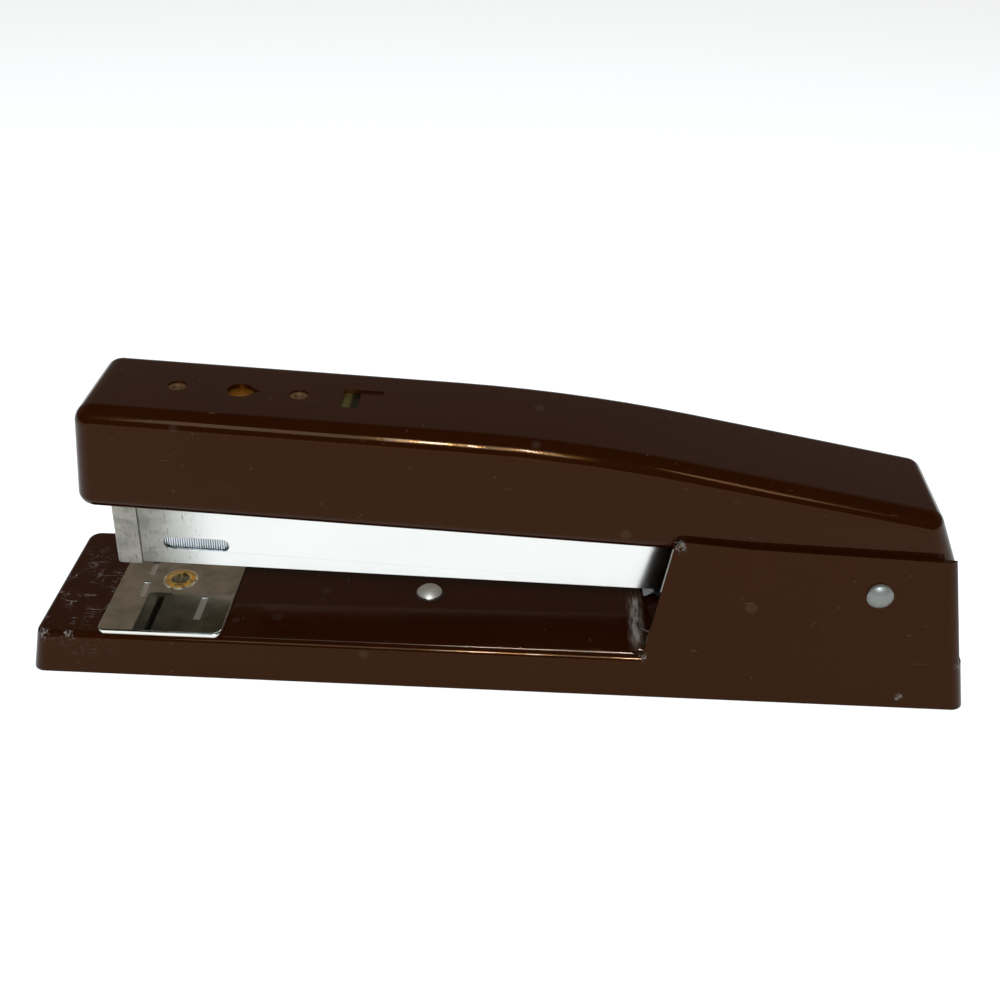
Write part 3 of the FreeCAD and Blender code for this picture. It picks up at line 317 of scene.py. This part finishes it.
def anvil_steel():
    """Mirror-plated plate with fine wipe marks, brighter inside its pressed grooves, where the pale colour
    is a painted highlight.
    """
    metal = Finish("polished_steel", Metallic=1.0)
    plate_low, plate_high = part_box("anvil_plate")
    stain = metal.noise(4, detail=4)
    below_top = metal.step(metal.axis("Z"), plate_high.z / MM - 0.1, plate_high.z / MM - 0.35)
    above_bottom = metal.step(metal.axis("Z"), plate_low.z / MM + 0.1, plate_low.z / MM + 0.3)
    sunk = metal.times(below_top, above_bottom)
    clean = (0.46, 0.425, 0.35)
    stained = (0.3, 0.275, 0.225)
    # painted highlight: the pale colour mixed in where the grooves sink
    pressed = (0.8, 0.78, 0.72)
    face = metal.mix(metal.step(stain, 0.3, 0.8), clean, stained)
    metal.set("Base Color", metal.mix(sunk, face, pressed))
    wipes = metal.noise(0.25, (1, 22, 1), detail=2)
    metal.set("Roughness", metal.combine("ADD", metal.span(stain, 0.04, 0.1), metal.times(sunk, 0.25)))
    metal.raise_by(wipes, 0.0015)
    return metal


def rubber():
    """Matt black rubber, greyer where it is worn."""
    sole = Finish("sole_rubber", Specular_IOR_Level=0.35)
    grain = sole.noise(0.7, detail=4, roughness=0.65)
    worn = sole.noise(12, detail=3)
    black = (0.012, 0.0105, 0.0095)
    grey = (0.03, 0.027, 0.025)
    sole.set("Base Color", sole.mix(worn, black, grey))
    sole.set("Roughness", sole.span(grain, 0.6, 0.9))
    sole.raise_by(grain, 0.06)
    return sole


def brass():
    """Rolled eyelet and hollow rivets: amber rust between a rubbed pale rim and the bore, whose dark centre
    is painted shade.
    """
    fitting = Finish("brass_fittings")
    rust = fitting.step(fitting.noise(1.3, detail=4, roughness=0.6), 0.36, 0.6)
    yellow = (0.66, 0.38, 0.09)
    rusty = (0.56, 0.2, 0.015)
    rubbed = (0.55, 0.46, 0.3)
    amber_lip = (0.58, 0.34, 0.09)
    bore_painted_shade = (0.13, 0.1, 0.055)
    colour = fitting.mix(rust, yellow, rusty)
    low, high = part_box("anvil_eyelet")
    middle = (low + high) / 2
    radius = (high.x - middle.x) / MM
    flat = fitting.vector("MULTIPLY", fitting.place, (1, 1, 0))
    distance = fitting.vector("DISTANCE", flat, (middle.x / MM, middle.y / MM, 0))
    inside = fitting.step(distance, radius * 1.1, radius * 1.05)
    rim = fitting.times(fitting.step(distance, radius * 0.8, radius * 0.9), inside)
    colour = fitting.mix(rim, colour, rubbed)
    lip = fitting.step(distance, radius * 0.7, radius * 0.6)
    colour = fitting.mix(lip, colour, amber_lip)
    # painted shade: the centre of the bore, where the post's top sits, is darkened
    bore = fitting.step(distance, radius * 0.53, radius * 0.49)
    colour = fitting.mix(bore, colour, bore_painted_shade)
    fitting.set("Base Color", colour)
    fitting.set("Metallic", fitting.span(rust, 0.9, 0.3))
    fitting.set("Roughness", fitting.span(rust, 0.25, 0.6))
    fitting.raise_by(rust, 0.02)
    return fitting


def button():
    """Grey crown over a dark polished flange, both painted reflections: the mottled grey crown stands for
    the magazine reflected in the dome and the dark flange for the brown paint reflected in it.
    """
    metal = Finish("button_steel", Metallic=0.65)
    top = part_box("stop_button")[1]
    # random mottling within the crown's painted reflection
    worn = metal.noise(1.2, detail=4)
    # above this height the crown's painted reflection of the magazine, below it the flange's painted dark
    # reflection
    crown = metal.step(metal.axis("Z"), top.z / MM - 1.5, top.z / MM - 1.25)
    painted_dark_reflection = (0.07, 0.05, 0.04)
    painted_grey_reflection = (0.4, 0.345, 0.28)
    painted_pale_reflection = (0.55, 0.48, 0.39)
    metal.set("Base Color", metal.mix(crown, painted_dark_reflection, metal.mix(worn, painted_grey_reflection, painted_pale_reflection)))
    metal.set("Roughness", metal.span(crown, 0.16, 0.5))
    return metal


def amber():
    """Amber-plated strip, olive towards the cover's rear window and near black just past the strip's edge
    there.
    """
    plate = Finish("amber_plating", Metallic=0.9)
    stain = plate.noise(3, detail=4)
    light_amber = (0.5, 0.2, 0.02)
    dark_amber = (0.36, 0.13, 0.012)
    olive = (0.2, 0.17, 0.05)
    past_window_dark = (0.03, 0.024, 0.012)
    colour = plate.mix(stain, light_amber, dark_amber)
    toward_window = plate.step(plate.axis("X"), LANCE_X / MM - 6, LANCE_X / MM - 2)
    darker = plate.step(plate.axis("X"), LANCE_X / MM + 2.5, LANCE_X / MM + 3.5)
    plate.set("Base Color", plate.mix(toward_window, colour, plate.mix(darker, olive, past_window_dark)))
    plate.set("Roughness", plate.span(stain, 0.3, 0.55))
    plate.raise_by(stain, 0.01)
    return plate


def reach_of(node, direction):
    """How far a node's mesh reaches along a direction: lowest and highest, in metres."""
    along = [v.co.dot(direction) for v in NODES[node].data.vertices]
    return min(along), max(along)


ALONG = (40, 1, 1)
EVEN = (1, 1, 1)
base_low, base_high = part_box("base_shell")
plate_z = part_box("anvil_plate")[0].z
NOSE_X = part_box("nose_cap")[0].x
ear_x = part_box("lift_spring")[0].x
PLATE_FRONT = Vector((base_low.x + 9 * MM, -4 * MM, plate_z))
CREASE = Vector((ear_x - 1.4 * MM, -7 * MM, plate_z))
near_y = base_low.y + 1.8 * MM
# chipped places of the enamel, each with its reach in millimetres
CHIPS = [
    (Vector((base_low.x + 3.2 * MM, near_y + 0.2 * MM, plate_z - 0.5 * MM)), 1.5),
    (Vector((base_low.x + 9 * MM, near_y, plate_z - 0.3 * MM)), 1.2),
    (Vector((base_low.x + 1 * MM, near_y + 3 * MM, plate_z - 2.5 * MM)), 1.2),
    (Vector((base_low.x + 2 * MM, -near_y, plate_z - 1.0 * MM)), 1.7),
    (Vector((ear_x - 0.4 * MM, near_y, plate_z)), 1.1),
    (Vector((ear_x + 5.6 * MM, base_low.y + 6.0 * MM, base_high.z - 0.9 * MM)), 1.6),
    (Vector((base_high.x - 2.4 * MM, base_low.y + 2.7 * MM, plate_z + 8 * MM)), 1.6),
    (Vector((base_high.x - 1.4 * MM, base_low.y + 1.6 * MM, plate_z + 1 * MM)), 1.9),
    (Vector((base_high.x - 5.2 * MM, base_low.y + 5.6 * MM, plate_z + 23 * MM)), 1.2),
    (Vector((base_high.x - 14 * MM, base_low.y + 0.3 * MM, base_low.z + 2.6 * MM)), 1.0),
    (Vector((base_high.x - 3 * MM, -base_low.y - 2.7 * MM, plate_z + 4 * MM)), 1.8),
]
# the edge of the strip in the cover's rear window, measured from the cover's nose
LANCE_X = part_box("cover_shell")[0].x + 52 * MM
FINISHES = {
    "brown_enamel": enamel(),
    "sole_rubber": rubber(),
    "polished_steel": anvil_steel(),
    "channel_steel": nose_steel("channel_steel", (0.8, 0.785, 0.75), (0.28, 0.265, 0.225)),
    "zinc_steel": steel("zinc_steel", (0.2, 0.205, 0.185), 0.62, EVEN, 0.4),
    "spring_steel": steel("spring_steel", (0.4, 0.42, 0.44), 0.3, ALONG),
    "staple_wire": steel("staple_wire", (0.62, 0.64, 0.66), 0.2, (1, 1, 12)),
    "follower_steel": steel("follower_steel", (0.3, 0.29, 0.27), 0.4, ALONG),
    "brass_fittings": brass(),
    "amber_plating": amber(),
}
for name, node in NODES.items():
    for held in node.material_slots:
        held.material = FINISHES[held.material.name.split(".")[0]].material
OWN_FINISHES = {
    "driver_rivets": steel("dark_bronze", (0.2, 0.1, 0.04), 0.5, EVEN, 0.7),
    "pivot_pin": steel("pin_steel", (0.2, 0.195, 0.17), 0.36, EVEN, 0.3),
    "stop_button": button(),
    "nose_cap": nose_steel("cap_steel", (0.5, 0.49, 0.46), (0.32, 0.3, 0.26)),
}
for name, finish in OWN_FINISHES.items():
    for held in NODES[name].material_slots:
        held.material = finish.material


# ---------------------------------------------------------------- edges of the sheet metal

# widths in millimetres
EDGE = {"base_shell": 0.28, "cover_shell": 0.25, "base_sole": 0.5, "anvil_plate": 0.12}
THIN_EDGE = 0.1
WELD_REACH = 0.002
SHARP = math.radians(32)


def soften(piece, width):
    """Rounds a piece's sharp edges to width millimetres and shades its faces smooth."""
    for face in piece.data.polygons:
        face.use_smooth = True
    weld = piece.modifiers.new("weld", "WELD")
    weld.merge_threshold = WELD_REACH * MM
    round_edge = piece.modifiers.new("edges", "BEVEL")
    round_edge.width = width * MM
    round_edge.segments = 2
    round_edge.limit_method = "ANGLE"
    round_edge.angle_limit = SHARP
    shade = piece.modifiers.new("shade", "WEIGHTED_NORMAL")
    shade.keep_sharp = False


for name, node in NODES.items():
    soften(node, EDGE.get(name, THIN_EDGE))


# ---------------------------------------------------------------- springs, staples and screws

FEED_ALONG = Vector(JOINTS["follower_slide"]["axis"])
ACROSS = Vector((0, 1, 0))
FEED_UP = FEED_ALONG.cross(ACROSS)
UP = Vector((0, 0, 1))
WIRE_SIDES = 8
TURN_STEPS = 22


def mesh_piece(name, points, faces, finish, body, node):
    """A new piece that stands for a CAD node."""
    mesh = bpy.data.meshes.new(name)
    mesh.from_pydata(points, [], faces)
    mesh.materials.append(FINISHES[finish].material)
    for face in mesh.polygons:
        face.use_smooth = True
    mesh.update()
    piece = bpy.data.objects.new(name, mesh)
    bpy.context.scene.collection.objects.link(piece)
    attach(piece, body)
    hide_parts(node)
    return piece


def wire_rings(path, sideways, radii, sides):
    """Rings of points round a path; sideways gives each ring's first axis, square to the path."""
    rings = []
    for index, point in enumerate(path):
        before = path[max(index - 1, 0)]
        after = path[min(index + 1, len(path) - 1)]
        tangent = (after - before).normalized()
        first = sideways[index] - tangent * sideways[index].dot(tangent)
        first.normalize()
        second = tangent.cross(first)
        ring = []
        for side in range(sides):
            angle = 2 * math.pi * (side + 0.5) / sides
            wide = first * radii[0] * math.cos(angle)
            ring.append(point + wide + second * radii[1] * math.sin(angle))
        rings.append(ring)
    return rings


def skin(rings, points, faces):
    """Adds a closed skin over rings, with flat ends, to lists of points and faces."""
    start = len(points)
    sides = len(rings[0])
    for ring in rings:
        points.extend(ring)
    for step in range(len(rings) - 1):
        for side in range(sides):
            after = (side + 1) % sides
            low = start + step * sides
            faces.append((low + side, low + after, low + sides + after, low + sides + side))
    faces.append(tuple(start + side for side in reversed(range(sides))))
    last = start + (len(rings) - 1) * sides
    faces.append(tuple(last + side for side in range(sides)))


def coil(name, node, body, along, first_axis, wire, turns, closed):
    """A wound spring that fills the tube its CAD node draws, with closed turns at each end."""
    second_axis = along.cross(first_axis)
    low, high = reach_of(node, along)
    left, right = reach_of(node, first_axis)
    below, above = reach_of(node, second_axis)
    radius = (right - left) / 2 - wire / 2
    middle = first_axis * (left + right) / 2 + second_axis * (below + above) / 2
    room = high - low - wire
    end_share = closed * wire / room
    path = []
    outward = []
    for index in range(turns * TURN_STEPS + 1):
        turn_now = index / TURN_STEPS
        if turn_now < closed:
            share = turn_now / closed * end_share
        elif turn_now > turns - closed:
            share = 1 - (turns - turn_now) / closed * end_share
        else:
            share = end_share + (1 - 2 * end_share) * (turn_now - closed) / (turns - 2 * closed)
        angle = 2 * math.pi * turn_now
        out_axis = first_axis * math.cos(angle) + second_axis * math.sin(angle)
        path.append(middle + out_axis * radius + along * (low + wire / 2 + room * share))
        outward.append(out_axis)
    points = []
    faces = []
    skin(wire_rings(path, outward, (wire / 2, wire / 2), WIRE_SIDES), points, faces)
    return mesh_piece(name, points, faces, "spring_steel", body, node)


def staples(node):
    """A strip of separate staples, side by side, each bent from wire."""
    chance = random.Random(4)
    start, end = reach_of(node, FEED_ALONG)
    low, high = reach_of(node, FEED_UP)
    left, right = reach_of(node, ACROSS)
    pitch = 0.5 * MM
    wire = 0.47 * MM
    bend = 0.9 * MM
    unevenness = 0.03 * MM
    bend_steps = 4
    half = (right - left) / 2 - wire / 2
    top = high - wire / 2
    points = []
    faces = []
    for index in range(int((end - start) / pitch)):
        lean = chance.uniform(-unevenness, unevenness)
        place = FEED_ALONG * (start + (index + 0.5) * pitch)
        outline = [(-half, low), (-half, (low + top) / 2)]
        for corner in range(bend_steps + 1):
            angle = math.pi / 2 * corner / bend_steps
            outline.append((-half + bend * (1 - math.cos(angle)), top - bend * (1 - math.sin(angle))))
        outline.append((0, top))
        outline += [(-y, z) for y, z in reversed(outline[:-1])]
        path = [place + ACROSS * y + FEED_UP * (z + lean) for y, z in outline]
        skin(wire_rings(path, [FEED_ALONG] * len(path), (wire / 2, wire / 2), WIRE_SIDES), points, faces)
    return mesh_piece("staples", points, faces, "staple_wire", "magazine", node)


SCREW_RADIUS = 2.8 * MM
SCREW_DEPTH = 1.6 * MM
SCREW_SIDES = 72
SCREW_RINGS = 26
CROSS_REACH = 1.7 * MM
CROSS_WIDTH = 0.42 * MM
CROSS_DEPTH = 1.0 * MM


def screw_height(across):
    """How far a screw's face lies above its lowest point, at a place measured from its axis."""
    radius = across.length
    arms = (max(abs(across.x) / CROSS_WIDTH, abs(across.y) / CROSS_REACH),
            max(abs(across.y) / CROSS_WIDTH, abs(across.x) / CROSS_REACH))
    inside = min(max((1.15 - min(arms)) / 0.3, 0), 1)
    recess = inside * CROSS_DEPTH * (1 - 0.5 * radius / CROSS_REACH)
    share = radius / SCREW_RADIUS
    crown = 0.49 * MM * share ** 2
    rounding = 0.5 * MM * max(0, share - 0.88) / 0.12
    return recess + crown + rounding


def screw_head(x, y, bottom, twist, points, faces):
    """Adds one head that faces down, with a crossed recess turned by twist."""
    start = len(points)
    angles = [2 * math.pi * step / SCREW_SIDES for step in range(SCREW_SIDES)]
    for ring in range(SCREW_RINGS):
        radius = SCREW_RADIUS * (ring + 1) / SCREW_RINGS
        for angle in angles:
            across = Vector((math.cos(angle + twist), math.sin(angle + twist))) * radius
            edge = Vector((x + radius * math.cos(angle), y + radius * math.sin(angle), bottom))
            points.append(edge + UP * screw_height(across))
    outer = start + (SCREW_RINGS - 1) * SCREW_SIDES
    back = len(points)
    for step in range(SCREW_SIDES):
        corner = points[outer + step].copy()
        corner.z = bottom + SCREW_DEPTH
        points.append(corner)
    for ring in range(SCREW_RINGS):
        low = start + ring * SCREW_SIDES
        for step in range(SCREW_SIDES):
            after = (step + 1) % SCREW_SIDES
            faces.append((low + step, low + SCREW_SIDES + step, low + SCREW_SIDES + after, low + after))
    faces.append(tuple(start + step for step in range(SCREW_SIDES)))
    faces.append(tuple(back + step for step in reversed(range(SCREW_SIDES))))


def cross_screws(node):
    """Round-headed screws with a crossed recess, one in each well of the sole."""
    low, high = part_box(node)
    points = []
    faces = []
    for x in (low.x + SCREW_RADIUS, high.x - SCREW_RADIUS):
        for y in (low.y + SCREW_RADIUS, high.y - SCREW_RADIUS):
            twist = 0.6 * x / MM + 0.3 * y / MM
            screw_head(x, y, low.z, twist, points, faces)
    return mesh_piece("sole_screw_heads", points, faces, "zinc_steel", "base", node)


def lift_leaf(node):
    """The leaf under the magazine, with its raised end low enough to clear it when pressed down."""
    mesh = NODES[node].data.copy()
    low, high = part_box(node)
    swing = JOINTS["magazine_swing"]
    press = math.radians(-swing["range_deg"][0])
    clearance = 0.1 * MM
    drop = (swing["pos_m"][0] - low.x) * math.tan(press) + clearance
    foot = max(v.co.z for v in mesh.vertices if v.co.x > (low.x + high.x) / 2)
    for corner in mesh.vertices:
        if corner.co.z > foot:
            corner.co.z = foot + (corner.co.z - foot) * (1 - drop / (high.z - foot))
    piece = bpy.data.objects.new("lift_leaf", mesh)
    bpy.context.scene.collection.objects.link(piece)
    soften(piece, THIN_EDGE)
    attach(piece, "base")
    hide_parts(node)
    return piece


staples("staple_strip")
cross_screws("sole_screws")
lift_leaf("lift_spring")
feed_coil = coil("feed_coil", "feed_spring", "magazine", FEED_ALONG, ACROSS, 0.45 * MM, 33, 2)
anvil_coil = coil("anvil_coil", "anvil_spring", "base", UP, ACROSS, 0.55 * MM, 4, 1)
for piece, node, joint, along in ((feed_coil, "feed_spring", "follower_slide", FEED_ALONG),
                                  (anvil_coil, "anvil_spring", "anvil_lift", UP)):
    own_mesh(piece)


# ---------------------------------------------------------------- camera

centre = (cad_low + cad_high) / 2
CAMERA_LENS = 45.35
CAMERA_SHIFT = -0.0674
CAMERA_PLACE = centre + Vector((0.008231, -0.222982, 0.150039))
CAMERA_YAW = 0.0375
CAMERA_PITCH = math.radians(30)
CAMERA_ROLL = 0.0181


def make_camera():
    data = bpy.data.cameras.new("camera")
    data.lens = CAMERA_LENS
    data.shift_y = CAMERA_SHIFT
    camera = bpy.data.objects.new("camera", data)
    bpy.context.scene.collection.objects.link(camera)
    turn = Matrix.Rotation(CAMERA_YAW, 4, "Z") @ Matrix.Rotation(math.pi / 2 - CAMERA_PITCH, 4, "X")
    turn = turn @ Matrix.Rotation(CAMERA_ROLL, 4, "Z")
    camera.matrix_world = Matrix.Translation(CAMERA_PLACE) @ turn
    return camera


bpy.context.scene.camera = make_camera()


# ---------------------------------------------------------------- lamps

def lamp(name, place, target, size, power, colour=(1, 1, 1)):
    data = bpy.data.lights.new(name, "AREA")
    data.shape = "RECTANGLE"
    data.size, data.size_y = size
    data.energy = power
    data.color = colour
    made = bpy.data.objects.new(name, data)
    made.location = place
    made.rotation_euler = (Vector(target) - Vector(place)).to_track_quat("-Z", "Y").to_euler()
    bpy.context.scene.collection.objects.link(made)
    return made


OVERHEAD_SIZE = 2.6
OVERHEAD_HEIGHT = 2.4
OVERHEAD_POWER = 17
PANEL_FRONT = -1.1
PANEL_HEIGHT = 1.0
COOL = (0.62, 0.83, 1)
NEUTRAL = (0.86, 0.94, 1)
WHITE = (1, 1, 1)
# a row of panels ahead of the object: name, place along X, width, height, radiance, colour
PANELS = (
    ("left", -0.2925, 0.335, 0.5, 5.5, COOL),
    ("key", 0.05, 0.35, 0.5, 10, COOL),
    ("key_end", -0.105, 0.04, 0.5, 18, COOL),
    ("right", 0.6, 0.1, 0.5, 7, WHITE),
    ("right_end", 0.69, 0.08, 0.5, 3, WHITE),
    ("spark", -0.061, 0.04, 0.2, 240, NEUTRAL),
    ("spark", 0.01, 0.018, 0.2, 280, NEUTRAL),
    ("spark", 0.143, 0.03, 0.2, 230, NEUTRAL),
)

overhead = lamp("overhead", (0, 0, OVERHEAD_HEIGHT), centre, (OVERHEAD_SIZE, OVERHEAD_SIZE), OVERHEAD_POWER)
overhead.visible_glossy = False
for name, x, wide, tall, radiance, colour in PANELS:
    power = radiance * math.pi * wide * tall
    lamp(name, (x, PANEL_FRONT, PANEL_HEIGHT), centre, (wide, tall), power, colour)


# ---------------------------------------------------------------- floor and room

FLOOR_HALF = 20.0
FLOOR_GAP = 0.02 * MM
FLOOR_COLOUR = (0.8, 0.8, 0.8, 1)
FLOOR_GLOW = 0.5
GLOW_COLOUR = (1, 0.985, 0.96, 1)
SHOWN_RAYS = ("Is Camera Ray", "Is Glossy Ray", "Is Transmission Ray")


def floor_material():
    """Pale floor that glows only where it is seen, and isn't there from below."""
    pale = bpy.data.materials.new("floor_white")
    pale.use_nodes = True
    tree = pale.node_tree
    tree.nodes.clear()
    rays = tree.nodes.new("ShaderNodeLightPath")
    seen = rays.outputs[SHOWN_RAYS[0]]
    for ray in SHOWN_RAYS[1:]:
        either = tree.nodes.new("ShaderNodeMath")
        either.operation = "MAXIMUM"
        tree.links.new(seen, either.inputs[0])
        tree.links.new(rays.outputs[ray], either.inputs[1])
        seen = either.outputs[0]
    strength = tree.nodes.new("ShaderNodeMath")
    strength.operation = "MULTIPLY"
    strength.inputs[1].default_value = FLOOR_GLOW
    tree.links.new(seen, strength.inputs[0])
    glow = tree.nodes.new("ShaderNodeEmission")
    glow.inputs["Color"].default_value = GLOW_COLOUR
    tree.links.new(strength.outputs[0], glow.inputs["Strength"])
    matt = tree.nodes.new("ShaderNodeBsdfDiffuse")
    matt.inputs["Color"].default_value = FLOOR_COLOUR
    both = tree.nodes.new("ShaderNodeAddShader")
    tree.links.new(matt.outputs[0], both.inputs[0])
    tree.links.new(glow.outputs[0], both.inputs[1])
    clear = tree.nodes.new("ShaderNodeBsdfTransparent")
    side = tree.nodes.new("ShaderNodeNewGeometry")
    above = tree.nodes.new("ShaderNodeMixShader")
    tree.links.new(side.outputs["Backfacing"], above.inputs["Fac"])
    tree.links.new(both.outputs[0], above.inputs[1])
    tree.links.new(clear.outputs[0], above.inputs[2])
    out = tree.nodes.new("ShaderNodeOutputMaterial")
    tree.links.new(above.outputs[0], out.inputs["Surface"])
    return pale


def make_floor():
    mesh = bpy.data.meshes.new("floor")
    corners = [Vector((x, y, 0)) * FLOOR_HALF for x, y in ((-1, -1), (1, -1), (1, 1), (-1, 1))]
    mesh.from_pydata(corners, [], [(0, 1, 2, 3)])
    mesh.materials.append(floor_material())
    floor = bpy.data.objects.new("floor", mesh)
    floor.location.z = cad_low.z - FLOOR_GAP
    bpy.context.scene.collection.objects.link(floor)


# brightness of the room by how far up it is seen: 0 is level with the floor, 1 straight overhead
SKY_BANDS = ((0.0, 0.2), (0.3, 0.24), (0.62, 0.24), (0.8, 0.03))
SKY_WARMTH = (1, 0.87, 0.74)
WALL_SPREAD = 0.3
FRONT_LEVEL = 0.25


def make_room():
    """Soft warm surroundings, dimmer in front of the object and dark straight overhead."""
    world = bpy.data.worlds.new("room")
    world.use_nodes = True
    tree = world.node_tree
    background = tree.nodes["Background"]
    direction = tree.nodes.new("ShaderNodeTexCoord")
    parts = tree.nodes.new("ShaderNodeSeparateXYZ")
    tree.links.new(direction.outputs["Generated"], parts.inputs[0])
    sky = tree.nodes.new("ShaderNodeValToRGB")
    tree.links.new(parts.outputs["Z"], sky.inputs["Fac"])
    stops = sky.color_ramp.elements
    for index, (place, level) in enumerate(SKY_BANDS):
        stop = stops[index] if index < len(stops) else stops.new(place)
        stop.position = place
        stop.color = (*(level * share for share in SKY_WARMTH), 1)
    tree.links.new(sky.outputs["Color"], background.inputs["Color"])
    wall = tree.nodes.new("ShaderNodeMapRange")
    tree.links.new(parts.outputs["Y"], wall.inputs["Value"])
    wall.inputs["From Min"].default_value = -WALL_SPREAD
    wall.inputs["From Max"].default_value = WALL_SPREAD
    wall.inputs["To Min"].default_value = FRONT_LEVEL
    tree.links.new(wall.outputs["Result"], background.inputs["Strength"])
    bpy.context.scene.world = world


make_floor()
make_room()

bpy.context.scene.view_settings.view_transform = "Standard"
